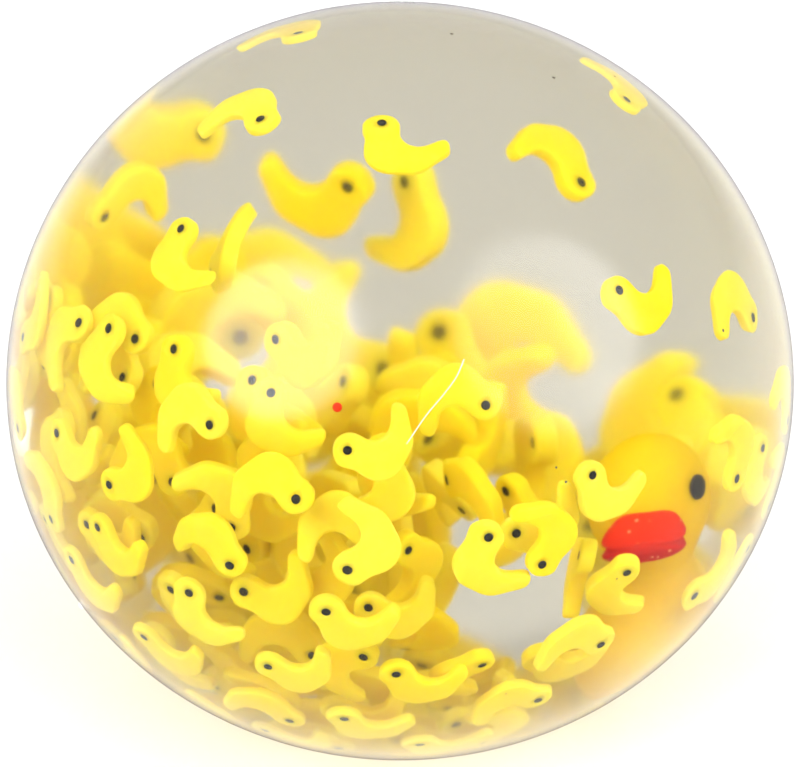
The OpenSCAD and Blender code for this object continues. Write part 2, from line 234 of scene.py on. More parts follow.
def slice_axes(points, middle, eye):
    """A slice's own axes: towards its eye, across it with the tail on the low side, and out of a face."""
    out = face_way(points)
    ahead = eye - middle
    ahead = ahead - out * (ahead @ out)
    ahead = ahead / np.linalg.norm(ahead)
    across = np.cross(out, ahead)
    reach = (points - middle) @ across
    if reach.max() > -reach.min():
        out, across = -out, -across
    return np.array([ahead, across, out])


def rim_loops(triangles):
    """Corner numbers of each closed edge round a patch of triangles, in order."""
    edges = {(int(t[i - 1]), int(t[i])) for t in triangles for i in range(3)}
    after = {a: b for a, b in edges if (b, a) not in edges}
    loops = []
    while after:
        loop = [min(after)]
        while (following := after.pop(loop[-1])) != loop[0]:
            loop.append(following)
        loops.append(loop)
    return loops


def even_loop(loop, count):
    """Points at equal steps round a closed line."""
    closed = np.vstack([loop, loop[:1]])
    along = np.r_[0, np.cumsum(np.linalg.norm(np.diff(closed, axis=0), axis=1))]
    steps = np.arange(count) / count * along[-1]
    return np.column_stack([np.interp(steps, along, closed[:, i]) for i in range(closed.shape[1])])


def inside(points, loop):
    """Which points lie within a closed flat line."""
    a, b = loop, np.roll(loop, -1, 0)
    x, y = points[:, :1], points[:, 1:]
    spans = (a[:, 1] > y) != (b[:, 1] > y)
    rise = np.where(a[:, 1] == b[:, 1], 1, b[:, 1] - a[:, 1])
    crossing = a[:, 0] + (y - a[:, 1]) / rise * (b[:, 0] - a[:, 0])
    return (spans & (x < crossing)).sum(1) % 2 == 1


def fill_flat(rim, hole, step):
    """Extra points, and triangles that fill a flat rim round a hole, numbered rim, hole, extra points."""
    low, high = rim.min(0), rim.max(0)
    xs, ys = np.meshgrid(np.arange(low[0], high[0], step), np.arange(low[1], high[1], step))
    xs = xs + (np.arange(len(xs)) % 2)[:, None] * step / 2
    grid = np.column_stack([xs.ravel(), ys.ravel()])
    edge = np.vstack([rim, hole])
    far = np.linalg.norm(grid[:, None] - edge[None], axis=2).min(1) > FROM_EDGE * step
    grid = grid[far & inside(grid, rim) & ~inside(grid, hole)]
    corners = np.vstack([edge, grid])
    n, m = len(rim), len(hole)
    edges = [(i, (i + 1) % n) for i in range(n)] + [(n + i, n + (i + 1) % m) for i in range(m)]
    made = delaunay_2d_cdt([Vector(p) for p in corners / MM], edges, [], 1, 1e-6)
    own = [given[0] for given in made[3]]
    triangles = np.array([[own[i] for i in face] for face in made[2]])
    return grid, triangles[~inside(corners[triangles].mean(1), hole)]


points, triangles = solids("float_slice_1")[0]
eye_points = solids("float_eye_1")[0][0]
middle = surface_middle(points, triangles)
axes = slice_axes(points, middle, eye_points.mean(0))
own_points = (points - middle) @ axes.T
own_eye = (eye_points - middle) @ axes.T
slice_half = np.ptp(own_points[:, 2]) / 2
eye_at = own_eye.mean(0)[:2]
eye_r = np.linalg.norm(own_eye[:, :2] - eye_at, axis=1).max()

top_face = triangles[own_points[triangles][:, :, 2].min(1) > 0]
face_loops = [own_points[loop][:, :2] for loop in rim_loops(top_face)]
outline = even_loop(max(face_loops, key=lambda loop: np.ptp(loop[:, 0])), OUTLINE_POINTS)
for _ in range(OUTLINE_SOFTENINGS):
    outline = (np.roll(outline, 1, 0) + 2 * outline + np.roll(outline, -1, 0)) / 4
along = np.roll(outline, -1, 0) - np.roll(outline, 1, 0)
inward = np.column_stack([-along[:, 1], along[:, 0]]) / np.linalg.norm(along, axis=1)[:, None]
# The edge is rounded less where the slice is narrow, as at the tip of the tail
width = np.linalg.norm(outline[:, None] - outline[None], axis=2)
width[inward @ inward.T > FACING_EDGES] = math.inf
rounding = np.minimum(EDGE_ROUNDING, NARROW_SHARE * width.min(1))
rounding = np.min([np.roll(rounding, step) for step in NEIGHBOURS], axis=0)


def circle(count):
    """Points at equal steps round a circle of radius 1."""
    turns = np.arange(count) / count * 2 * math.pi
    return np.column_stack([np.cos(turns), np.sin(turns)])


def ring_band(low, high, count):
    """Quads between two rings of points that start at these numbers."""
    return [(low + i, low + (i + 1) % count, high + (i + 1) % count, high + i) for i in range(count)]


def ring_bands(rings, count):
    """Quads between each ring of points and the next."""
    return [face for i in range(rings - 1) for face in ring_band(i * count, (i + 1) * count, count)]


edge_rings = []
for side, turn in zip(EDGE_SIDES, EDGE_TURNS):
    ring = outline + inward * rounding[:, None] * (1 - math.cos(turn))
    height = side * (slice_half - EDGE_ROUNDING) + EDGE_ROUNDING * math.sin(turn)
    edge_rings.append(np.column_stack([ring, np.full(OUTLINE_POINTS, height)]))
eye_circle = circle(EYE_SIDES)
eye_rim = eye_at + eye_r * eye_circle
extra, flat_triangles = fill_flat(edge_rings[-1][:, :2], eye_rim, FACE_STEP)

flat_points = np.vstack([eye_rim, extra])
flat_count = len(flat_points)
top_rim = (len(edge_rings) - 1) * OUTLINE_POINTS
top_flat = len(edge_rings) * OUTLINE_POINTS
under_flat = top_flat + flat_count
flats = [np.column_stack([flat_points, np.full(flat_count, height)]) for height in (slice_half, -slice_half)]
slice_points = np.vstack(edge_rings + flats)
slice_faces = ring_bands(len(edge_rings), OUTLINE_POINTS)
for rim, flat, order in ((top_rim, top_flat, 1), (0, under_flat, -1)):
    for triangle in flat_triangles.tolist():
        corners = [i + (rim if i < OUTLINE_POINTS else flat - OUTLINE_POINTS) for i in triangle]
        slice_faces.append(tuple(corners[::order]))
slice_faces += ring_band(top_flat, under_flat, EYE_SIDES)

eye_profile = [
    (0, EYE_SINK - slice_half),
    (EYE_DISH * eye_r, EYE_DISH * EYE_SINK - slice_half),
    (eye_r, -slice_half),
    (eye_r, slice_half),
    (EYE_DISH * eye_r, slice_half - EYE_DISH * EYE_SINK),
    (0, slice_half - EYE_SINK),
]


def revolve(profile, around):
    """Points and faces of a profile of radius and height, turned round an upright line and closed."""
    count = len(around)
    rings = [np.column_stack([radius * around, np.full(count, height)]) for radius, height in profile[1:-1]]
    ends = [(0, 0, profile[0][1]), (0, 0, profile[-1][1])]
    last = (len(rings) - 1) * count
    first_end, last_end = len(rings) * count, len(rings) * count + 1
    faces = ring_bands(len(rings), count)
    faces += [(first_end, (i + 1) % count, i) for i in range(count)]
    faces += [(last_end, last + i, last + (i + 1) % count) for i in range(count)]
    return np.vstack(rings + [ends]), faces


slice_eye_points, slice_eye_faces = revolve(eye_profile, eye_circle)
slice_eye_points = slice_eye_points + [*eye_at, 0]


def bend(points, way, bow):
    """Points of a flat slice bent into an arch along a direction in its plane, with its ends down."""
    c, s = math.cos(way), math.sin(way)
    along = points[:, 0] * c + points[:, 1] * s
    aside = points[:, 1] * c - points[:, 0] * s
    reach = points[:, 2] + 1 / bow
    height = reach * np.cos(along * bow) - 1 / bow
    along = reach * np.sin(along * bow)
    return np.column_stack([along * c - aside * s, along * s + aside * c, height])


clay, paint = new_finish("slice_clay")
place = paint.node("TexCoord", out="Object")
tone = paint.node("Attribute", {"attribute_name": "tone"}, out="Fac")
mottle = paint.node("TexNoise", {}, {"Vector": place, "Scale": 700, "Detail": 3})
grain = paint.node("TexNoise", {}, {"Vector": place, "Scale": 5200, "Detail": 4, "Roughness": 0.62})
crumbs = paint.fade(grain, *CRUMB_GRAIN, 0, CRUMB_SHARE)
deeper = TONE_SHARE * tone + MOTTLE_SHARE * mottle - KEPT_PALE
yellow = paint.colours(deeper, PALE_YELLOW, DEEP_YELLOW)
relief = paint.node("Bump", {}, {"Strength": 0.25, "Distance": 0.06 * MM, "Height": grain})
shader = paint.node("BsdfPrincipled", {}, {
    "Base Color": paint.colours(crumbs, yellow, CRUMB_YELLOW),
    "Roughness": 0.36 + 0.3 * mottle,
    "Specular IOR Level": UNDER_LIQUID,
    "Subsurface Weight": 0.7,
    "Subsurface Radius": (1.0, 0.75, 0.15),
    "Subsurface Scale": 1.6 * MM,
    "Normal": relief,
})
paint.surface(shader)

eye_clay, paint = new_finish("slice_eye_clay")
place = paint.node("TexCoord", out="Object")
flecks = paint.node("TexNoise", {}, {"Vector": place, "Scale": 4200, "Detail": 3})
shader = paint.node("BsdfPrincipled", {}, {
    "Base Color": paint.colours(flecks, EYE_BLACK, EYE_GREY),
    "Roughness": 0.35 + 0.3 * flecks,
    "Specular IOR Level": UNDER_LIQUID,
})
paint.surface(shader)


def lay_slices(node, places, body, replaced):
    """All the slices of a group and their eyes, each bent, coloured and sized a little its own way."""
    draw = random.Random(node)
    laid, laid_eyes, tones = [], [], []
    for middle, axes in places:
        outer_side = 1 if axes[2] @ (middle - ball_middle) > 0 else -1
        way = draw.uniform(0, math.pi)
        bow = outer_side * (LEAST_BOW + MORE_BOW * draw.random() ** CURL_RARITY)
        own_size = draw.uniform(LEAST_SIZE, MOST_SIZE)
        laid.append(bend(slice_points * own_size, way, bow) @ axes + middle)
        laid_eyes.append(bend(slice_eye_points * own_size, way, bow) @ axes + middle)
        tones.append(draw.random())
    count, eye_count = len(slice_points), len(slice_eye_points)
    faces, eye_faces = [], []
    for j in range(len(laid)):
        faces += [tuple(i + j * count for i in face) for face in slice_faces]
        eye_faces += [tuple(i + j * eye_count for i in face) for face in slice_eye_faces]
    eye_node = node.replace("slice", "eye")
    slices_gone, eyes_gone = ([node], [eye_node]) if replaced else ([], [])
    clay_piece = add_piece("clay_" + node, np.vstack(laid), faces, clay, body, slices_gone)
    shade = clay_piece.data.attributes.new("tone", "FLOAT", "POINT")
    shade.data.foreach_set("value", np.repeat(tones, count).astype(np.float32))
    soft(clay_piece)
    eye_points = np.vstack(laid_eyes)
    soft(add_piece("clay_" + eye_node, eye_points, eye_faces, eye_clay, body, eyes_gone))


settled, afloat = [], []
for node in sorted(name for name in frame["nodes"] if "_slice" in name):
    eyes = np.array([solid.mean(0) for solid, _ in solids(node.replace("slice", "eye"))])
    places = []
    for points, triangles in solids(node):
        middle = surface_middle(points, triangles)
        away = eyes - middle
        misfit = abs(away @ face_way(points)) + abs(np.linalg.norm(away, axis=1) - eye_at[0])
        places.append((middle, slice_axes(points, middle, eyes[misfit.argmin()])))
    body = frame["nodes"][node]["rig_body"]
    lay_slices(node, places, body, True)
    if body == "filling":
        settled += places
    else:
        afloat += places

# Slices between: deep ones that show as a golden blur between the near ones, and some against the wall
# in front of the toy duck. They fall one by one where there is room, clear of the wall, the toy duck's
# way up and the port.
DEEP_TRIES = 3600
WALL_TRIES = 900
# Longitude from the front to the right and latitude between which slices lie against the wall, in degrees
WALL_LON, WALL_LAT = (12, 80), (-50, 2)
WALL_DEPTH = 3.35 * MM
# Top of the deep ones over the middle, and its fall for each metre to the right and to the back
DEEP_TOP, DEEP_FALL = 27 * MM, (0.22, 0.35)
DEEP_ROOM = 0.25 * MM
WALL_CLEARANCE = 3.0 * MM
DUCK_CLEARANCE, DUCK_RISE = 0.6 * MM, 8.5 * MM
PORT_REACH, PORT_CLEARANCE = 14 * MM, 7 * MM
# Every so many points of a slice are tried against the others
PROBE_EVERY = 2
# Sight lines that stay clear, each a point, a direction and a radius: the bare spot, and the bill
CLEAR_LINES = [
    (np.array([9.3, -33.6, 26.5]) * MM, np.array([-0.09, 0.94, -0.32]), 2.0 * MM),
    (np.array([22.7, -25.3, 30.6]) * MM, np.array([-0.24, 0.90, -0.36]), 4.8 * MM),
]

ball_half = np.array(ball_high - ball_low) / 2
slice_reach = np.linalg.norm(outline, axis=1).max()
probe = np.vstack([outline[::PROBE_EVERY], extra[::PROBE_EVERY]])
probe = np.column_stack([probe, np.zeros(len(probe))])
toy_boxes = np.array([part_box("duck_body"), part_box("duck_bill")])
toy_low = toy_boxes[:, 0].min(0) - DUCK_CLEARANCE
toy_high = toy_boxes[:, 1].max(0) + DUCK_CLEARANCE + [0, 0, DUCK_RISE]


def touches(place, other):
    """Does the middle sheet of a slice come within a slice's thickness of another slice?"""
    seen = (probe @ place[1] + place[0] - other[0]) @ other[1].T
    return (inside(seen[:, :2], outline) & (abs(seen[:, 2]) < 2 * slice_half + DEEP_ROOM)).any()


def has_room(place):
    """Is there room for one more slice here?"""
    middle, axes = place
    body_points = probe @ axes + middle
    from_middle = (body_points - ball_middle) / (ball_half - WALL_CLEARANCE)
    by_toy = ((body_points > toy_low) & (body_points < toy_high)).all(1)
    to_port_side = -(body_points - ball_middle) @ squeeze_way
    off_port_line = np.linalg.norm(np.cross(body_points - ball_middle, squeeze_way), axis=1)
    if (np.linalg.norm(from_middle, axis=1) > 1).any() or by_toy.any():
        return False
    for start, way, radius in CLEAR_LINES:
        if (np.linalg.norm(np.cross(body_points - start, way), axis=1) < radius).any():
            return False
    if ((off_port_line < PORT_CLEARANCE) & (to_port_side > PORT_REACH)).any():
        return False
    for spot, _ in afloat:
        if np.linalg.norm(body_points - spot, axis=1).min() < slice_reach + DEEP_ROOM:
            return False
    near = [other for other in settled if np.linalg.norm(other[0] - middle) < 2 * slice_reach]
    return not any(touches(place, other) or touches(other, place) for other in near)


def add_more(name, spots, draw):
    """Slices at those of the spots, each a middle and a way out of its face, that still have room."""
    laid = []
    for middle, out in spots:
        ahead = out.cross(Vector([draw.gauss(0, 1) for _ in range(3)])).normalized()
        place = middle, np.array([ahead, out.cross(ahead), out])
        if has_room(place):
            settled.append(place)
            laid.append(place)
    lay_slices(name, laid, "filling", False)


def way_out(lon, lat):
    """Direction at a longitude from the front to the right and a latitude, in degrees."""
    lon, lat = math.radians(lon), math.radians(lat)
    return np.array([math.cos(lat) * math.sin(lon), -math.cos(lat) * math.cos(lon), math.sin(lat)])


draw = random.Random("slices between")
wall_spots = []
for _ in range(WALL_TRIES):
    way = way_out(draw.uniform(*WALL_LON), draw.uniform(*WALL_LAT))
    wall_spots.append((ball_middle + way * (ball_half - WALL_DEPTH), Vector(way / ball_half).normalized()))
add_more("wall_slices", wall_spots, draw)

deep_spots = []
for _ in range(DEEP_TRIES):
    middle = np.array([draw.uniform(low, high) for low, high in zip(ball_low, ball_high)])
    if middle[2] < DEEP_TOP - middle[:2] @ DEEP_FALL:
        deep_spots.append((middle, Vector([draw.gauss(0, 1) for _ in range(3)]).normalized()))
add_more("deep_slices", deep_spots, draw)

# Toy duck: one soft vinyl moulding, yellow right through, with a flat base, folded wings and a short
# tail. It stands loose in the liquid, and its bill and eyes are painted afterwards.
DUCK_SIDES = 72
DUCK_STEPS = 6
DRAWN_H = 20
# Height, half width, reach to the front and to the back, and how pointed the back is
DUCK_STATIONS = [
    (0, 3.4, 3.8, 3.4, 1),
    (0.5, 4.5, 4.9, 4.7, 1),
    (2.2, 5.6, 6.0, 6.2, 1.1),
    (4.4, 5.9, 6.4, 7.0, 1.3),
    (6.6, 5.3, 6.1, 7.6, 1.6),
    (8.4, 4.2, 5.2, 7.9, 1.9),
    (9.6, 3.4, 4.3, 5.4, 1.6),
    (10.6, 3.1, 3.8, 3.2, 1.1),
    (11.8, 3.6, 4.0, 3.4, 1),
    (13.4, 4.4, 4.5, 4.3, 1),
    (15.2, 4.7, 4.7, 4.7, 1),
    (17.2, 4.2, 4.2, 4.2, 1),
    (18.8, 2.9, 2.9, 2.9, 1),
    (19.7, 1.3, 1.3, 1.3, 1),
    (20, 0.3, 0.3, 0.3, 1),
]
WING_H, WING_BULGE, WING_TALL, WING_BACK, WING_LONG = 5.2, 0.7, 1.8, -0.35, 0.4
FEATHER_DEPTH, FEATHERS, FEATHER_SLANT = 0.14, 3, 4
CROWN_FLAT = 0.02 * MM
DUCK_YELLOW = (0.82, 0.57, 0.003, 1)
DUCK_SHADE = (0.80, 0.52, 0.002, 1)


def smooth_rows(rows, steps):
    """Rows on a smooth curve that goes through the given rows."""
    rows = np.array(rows, float)
    found = []
    for i in range(len(rows) - 1):
        a, b, c, d = (rows[min(max(i + j, 0), len(rows) - 1)] for j in (-1, 0, 1, 2))
        slope = (c - a) / 2
        curve = a - 2.5 * b + 2 * c - d / 2
        twist = (d - a) / 2 + 1.5 * (b - c)
        for u in np.arange(steps) / steps:
            found.append(b + u * slope + u**2 * curve + u**3 * twist)
    return np.array(found + [rows[-1]])


def loft(rings):
    """Points and faces of a skin over rings of equal count, with flat ends."""
    count = len(rings[0])
    faces = ring_bands(len(rings), count)
    faces.append(tuple(range(count - 1, -1, -1)))
    faces.append(tuple(range((len(rings) - 1) * count, len(rings) * count)))
    return np.vstack(rings), faces


duck_low, duck_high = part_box("duck_body")
duck_corners = solids("duck_body")[0][0]
crown = duck_corners[duck_corners[:, 2] > duck_high.z - CROWN_FLAT].mean(0)
eye_middles = [surface_middle(*solid) for solid in solids("duck_eyes")]
duck_way = np.mean(eye_middles, axis=0) - crown
duck_turn = math.atan2(duck_way[0], -duck_way[1])
duck_scale = (duck_high.z - duck_low.z) / DRAWN_H


def at_duck(points):
    """Points drawn with the duck facing -Y on the origin, set where the toy duck stands."""
    c, s = math.cos(duck_turn), math.sin(duck_turn)
    x, y, z = (np.asarray(points) * duck_scale).T
    return np.column_stack([crown[0] + x * c - y * s, crown[1] + x * s + y * c, duck_low.z + z])


def duck_ring(row):
    """One level ring of the duck: an egg that draws out to the tail, with a folded wing on each side."""
    height, half, front, back, point = row
    ahead, side = circle(DUCK_SIDES).T
    up_wing = (height - WING_H) / WING_TALL
    along_wing = (ahead - WING_BACK) / WING_LONG
    on_wing = np.exp(-(up_wing**2)) * np.exp(-(along_wing**2))
    feathers = np.cos(FEATHERS * math.pi * up_wing - FEATHER_SLANT * ahead) * on_wing**2
    wing = WING_BULGE * on_wing + FEATHER_DEPTH * feathers
    reach = np.where(ahead > 0, -front * ahead, back * abs(ahead) ** point)
    return np.column_stack([side * (half + wing), reach, np.full(DUCK_SIDES, height)])


vinyl, paint = new_finish("duck_vinyl")
place = paint.node("TexCoord", out="Object")
cloud = paint.node("TexNoise", {}, {"Vector": place, "Scale": 260, "Detail": 2})
pores = paint.node("TexNoise", {}, {"Vector": place, "Scale": 6000, "Detail": 2})
shader = paint.node("BsdfPrincipled", {}, {
    "Base Color": paint.colours(cloud, DUCK_YELLOW, DUCK_SHADE),
    "Roughness": 0.3 + 0.2 * pores,
    "Specular IOR Level": UNDER_LIQUID,
    "Subsurface Weight": 0.25,
    "Subsurface Radius": (1.0, 0.6, 0.08),
    "Subsurface Scale": 1.2 * MM,
    "Normal": paint.node("Bump", {}, {"Strength": 0.12, "Distance": 0.04 * MM, "Height": pores}),
})
paint.surface(shader)

duck_points, duck_faces = loft([duck_ring(row) for row in smooth_rows(DUCK_STATIONS, DUCK_STEPS)])
duck_points = at_duck(duck_points)
soft(add_piece("vinyl_duck", duck_points, duck_faces, vinyl, "toy_duck", ["duck_body"]))

# Bill of the toy duck: a broad spoon of vinyl with a mouth line, its root sunk in the head. It is
# sprayed with a red glittery lacquer, and painted shade makes it darker underneath and lighter on top.
BILL_SIDES = 40
BILL_STEPS = 6
BILL_H = 14.6
# Reach from the upright line, half width, half height, and rise of its middle
BILL_STATIONS = [
    (3.6, 2.6, 1.7, 0.05),
    (4.4, 3.1, 1.8, 0),
    (5.6, 3.7, 1.6, -0.2),
    (6.6, 3.6, 1.2, -0.2),
    (7.3, 2.8, 0.8, 0),
    (7.7, 1.3, 0.5, 0.2),
]
# The mouth line deepens from the bill's root over this reach
MOUTH_DEPTH, MOUTH_SPREAD, MOUTH_RUN = 0.22, 0.2, 2
# Below 1 the rings are fuller than an oval
BILL_SQUARE = 0.85
# Reds of the lit top and the shaded underside: painted shade
BILL_LIT_RED = (0.74, 0.030, 0.0005, 1)
BILL_SHADED_RED = (0.56, 0.004, 0.0005, 1)
# Colour of the glitter flakes: a painted glint
GLITTER_GLINT = (0.98, 0.36, 0.15, 1)
# Heights from the bill's middle between which the painted shade goes from the darker under red to the
# lighter top red
UNDER_TO, TOP_FROM = -0.6 * MM, 1.2 * MM
# Grain of the glitter, a flake's share of its room, and the share of rooms that stay without one. The flakes
# are real, and their pale colour is a painted glint
FLAKE_SCALE, FLAKE_R, NO_FLAKE = 1900, 0.3, 0.82


def bill_ring(row):
    """One upright ring of the bill, drawn in at both sides where the mouth closes."""
    reach, half, tall, rise = row
    across, up = circle(BILL_SIDES).T
    open_share = min(1, (reach - BILL_STATIONS[0][0]) / MOUTH_RUN)
    mouth = 1 - MOUTH_DEPTH * np.exp(-((up / MOUTH_SPREAD) ** 2)) * open_share
    x = half * mouth * np.sign(across) * abs(across) ** BILL_SQUARE
    z = BILL_H + rise + tall * np.sign(up) * abs(up) ** BILL_SQUARE
    return np.column_stack([x, np.full(BILL_SIDES, -reach), z])


lacquer, paint = new_finish("bill_lacquer")
place = paint.node("TexCoord", out="Object")
height = paint.node("SeparateXYZ", {}, {"Vector": place}, out="Z")
bill_z = duck_low.z + BILL_H * duck_scale
# Painted shade: darker towards the bill's underside
shaded_share = paint.fade(height, bill_z + UNDER_TO, bill_z + TOP_FROM, 1, 0, "LINEAR")
flake = paint.node("TexVoronoi", {}, {"Vector": place, "Scale": FLAKE_SCALE})
chance = paint.node("TexVoronoi", {}, {"Vector": place, "Scale": FLAKE_SCALE}, out="Color")
chance = paint.node("SeparateColor", {}, {"Color": chance})
# Flakes, whose pale colour is a painted glint
glinting_flake = (flake < FLAKE_R) * (chance > NO_FLAKE)
lit_and_shaded_red = paint.colours(shaded_share, BILL_LIT_RED, BILL_SHADED_RED)
shader = paint.node("BsdfPrincipled", {}, {
    "Base Color": paint.colours(0.8 * glinting_flake, lit_and_shaded_red, GLITTER_GLINT),
    "Roughness": 0.4 - 0.2 * glinting_flake,
    "Specular IOR Level": UNDER_LIQUID,
})
paint.surface(shader)

bill_points, bill_faces = loft([bill_ring(row) for row in smooth_rows(BILL_STATIONS, BILL_STEPS)])
bill_points = at_duck(bill_points)
bill_faces = [face[::-1] for face in bill_faces]
soft(add_piece("lacquer_bill", bill_points, bill_faces, lacquer, "toy_duck", ["duck_bill"]))

# Eyes of the toy duck: two drops of black paint, dabbed on the sides of the head last of all. They
# are domed, as they dried, and stick by themselves.
DROP_SIDES = 32
DROP_R, DROP_DOME, DROP_SINK = 0.95, 0.34, 0.5
# Section of a drop below its edge, as radius and height, and turns over its dome
DROP_FOOT = [(0, -DROP_SINK), (0.7 * DROP_R, -0.9 * DROP_SINK), (DROP_R, -0.12)]
DOME_TURNS = np.radians([15, 35, 55, 75])
# The drops face out from a point in the head, this far below them
LOOK_RISE = 1.2 * MM

eye_paint, paint = new_finish("eye_paint")
place = paint.node("TexCoord", out="Object")
film = paint.node("TexNoise", {}, {"Vector": place, "Scale": 1500, "Detail": 2})
shader = paint.node("BsdfPrincipled", {}, {
    "Base Color": paint.colours(film, EYE_BLACK, EYE_GREY),
    "Roughness": 0.12 + 0.2 * film,
    "Specular IOR Level": UNDER_LIQUID,
})
paint.surface(shader)


def facing(way):
    """Axes, as columns, of a piece that stands up along a direction."""
    return np.array(Vector(way).to_track_quat("Z", "Y").to_matrix())


dome = [(DROP_R * math.cos(turn), DROP_DOME * math.sin(turn)) for turn in DOME_TURNS]
drop_points, drop_faces = revolve(DROP_FOOT + dome + [(0, DROP_DOME)], circle(DROP_SIDES))
both_points, both_faces = [], []
for eye in eye_middles:
    look = eye - [crown[0], crown[1], eye[2] - LOOK_RISE]
    both_faces += [tuple(i + len(both_points) * len(drop_points) for i in face) for face in drop_faces]
    both_points.append(drop_points * duck_scale @ facing(look).T + eye)
both_points = np.vstack(both_points)
soft(add_piece("painted_eyes", both_points, both_faces, eye_paint, "toy_duck", ["duck_eyes"]))

# Clear liquid: water with a little thickener, which fills the skin to the wall. Light goes from the
# skin into it without bending, because both bend light nearly alike.
BALL_SIDES = 192
BALL_STEPS = 96
LIQUID_TINT = (0.995, 0.99, 0.965, 1)
# How near the CAD skin's corners have to be to its widest line, its flat patch and its upright line
ON_WIDEST, ON_PATCH, ON_LINE = 0.002 * MM, 0.002 * MM, 0.3 * MM

skin_corners = np.array([v.co for v in frame["nodes"]["skin"].data.vertices])
skin_reach = np.hypot(skin_corners[:, 0], skin_corners[:, 1])
sit_h = skin_corners[skin_reach > ball_r - ON_WIDEST][:, 2].mean()
crown_rise = ball_high.z - sit_h
patch_r = skin_reach[skin_corners[:, 2] < ON_PATCH].max()
bowl_drop = sit_h / math.sqrt(1 - (patch_r / ball_r) ** 2)
inner_crown = skin_corners[(skin_reach < ON_LINE) & (skin_corners[:, 2] < ball_high.z - MM)]
skin_wall = ball_high.z - inner_crown[:, 2].max()
ball_circle = circle(BALL_SIDES)


def ball_profile(inset):
    """Half section of the ball, drawn in by an inset: an oval crown, and an oval bowl with a flat patch."""
    profile = []
    for turn in np.linspace(-math.pi / 2, math.pi / 2, BALL_STEPS):
        tall = crown_rise if turn > 0 else bowl_drop
        height = max(sit_h + (tall - inset) * math.sin(turn), inset)
        profile.append(((ball_r - inset) * math.cos(turn), height))
    profile[0], profile[-1] = (0, profile[0][1]), (0, profile[-1][1])
    return profile


liquid_low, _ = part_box("liquid_fill")
liquid, paint = new_finish("clear_liquid")
shader = paint.node("BsdfTransparent", {}, {"Color": LIQUID_TINT})
paint.surface(shader)
liquid_points, liquid_faces = revolve(ball_profile(liquid_low.z), ball_circle)
soft(add_piece("liquid", liquid_points, liquid_faces, liquid, "filling", ["liquid_fill"]))

# Skin: a hollow ball of soft clear rubber, cast in one piece with a small stepped port at the back.
# Its own weight flattens it where it rests. Handling leaves dust on it, and painted shade darkens it at its
# edge.
SKIN_IOR = 1.41
SKIN_TINT = (0.50, 0.49, 0.465, 1)
SHADOW_TINT = (0.99, 0.99, 0.985, 1)
# Grey of the painted shade along the ball's edge
EDGE_SHADE_TINT = (0.50, 0.48, 0.52, 1)
# The rubber is hazy, so what it mirrors shows in its smooth outer face alone
SKIN_SHEEN = (0.05, 0.05, 0.05, 1)
FACE_ROUGHNESS, FACE_IOR = 0.14, 1.13
# It is scuffed where it rolls on tables, fully to the first height and not above the second
SCUFF_FULL, SCUFF_TOP = 2 * MM, 24 * MM
# Painted shade darkens it where it is seen this much aslant, up to this share
EDGE_SLANT, EDGE_SHARE = (0.80, 0.98), 0.8
DUST = (0.10, 0.09, 0.07, 1)
# Grain of the dust, a speck's share of its room, and the share of rooms that stay clean
DUST_SCALE, SPECK_R, CLEAN = 210, 0.035, 0.7
PLUG_ROOM = 0.05 * MM
PORT_SIDES = 64
SHARP_TURN = math.radians(40)

rubber, paint = new_finish("clear_rubber")
place = paint.node("TexCoord", out="Object")
haze = paint.node("TexNoise", {}, {"Vector": place, "Scale": 120, "Detail": 2})
ripple = paint.node("TexNoise", {}, {"Vector": place, "Scale": 70, "Detail": 1})
height = paint.node("SeparateXYZ", {}, {"Vector": place}, out="Z")
scuffed = paint.fade(height, SCUFF_FULL, SCUFF_TOP, 1, 0)
speck = paint.node("TexVoronoi", {}, {"Vector": place, "Scale": DUST_SCALE})
chance = paint.node("TexVoronoi", {}, {"Vector": place, "Scale": DUST_SCALE}, out="Color")
chance = paint.node("SeparateColor", {}, {"Color": chance})
dusty = (speck < SPECK_R) * (chance > CLEAN)
bulk = paint.node("BsdfPrincipled", {}, {
    "Base Color": SKIN_TINT,
    "Roughness": 0.08 + 0.06 * haze + 0.10 * scuffed,
    "IOR": SKIN_IOR,
    "Specular Tint": SKIN_SHEEN,
    "Transmission Weight": 1,
    "Coat Weight": 1,
    "Coat Roughness": FACE_ROUGHNESS,
    "Coat IOR": FACE_IOR,
    "Normal": paint.node("Bump", {}, {"Strength": 0.06, "Distance": 0.5 * MM, "Height": ripple}),
})
lighting = paint.node("LightPath", out="Is Shadow Ray") + paint.node("LightPath", out="Is Diffuse Ray")
through = paint.node("BsdfTransparent", {}, {"Color": SHADOW_TINT})
slant = paint.node("LayerWeight", {}, {"Blend": 0.5}, out="Facing")
# Share of the painted edge shade, by how aslant the face is seen
edge = paint.fade(slant, *EDGE_SLANT, 0, EDGE_SHARE)
edge_shade = paint.node("BsdfTransparent", {}, {"Color": EDGE_SHADE_TINT})
edge_shaded = paint.node("MixShader", {}, {0: edge, 1: bulk, 2: edge_shade})
clear = paint.node("MixShader", {}, {0: lighting, 1: edge_shaded, 2: through})
dirt = paint.node("BsdfDiffuse", {}, {"Color": DUST})
shader = paint.node("MixShader", {}, {0: dusty, 1: clear, 2: dirt})
paint.surface(shader)

wet_wall, paint = new_finish("wet_inner_wall")
shader = paint.node("BsdfTransparent", {}, {"Color": LIQUID_TINT})
paint.surface(shader)

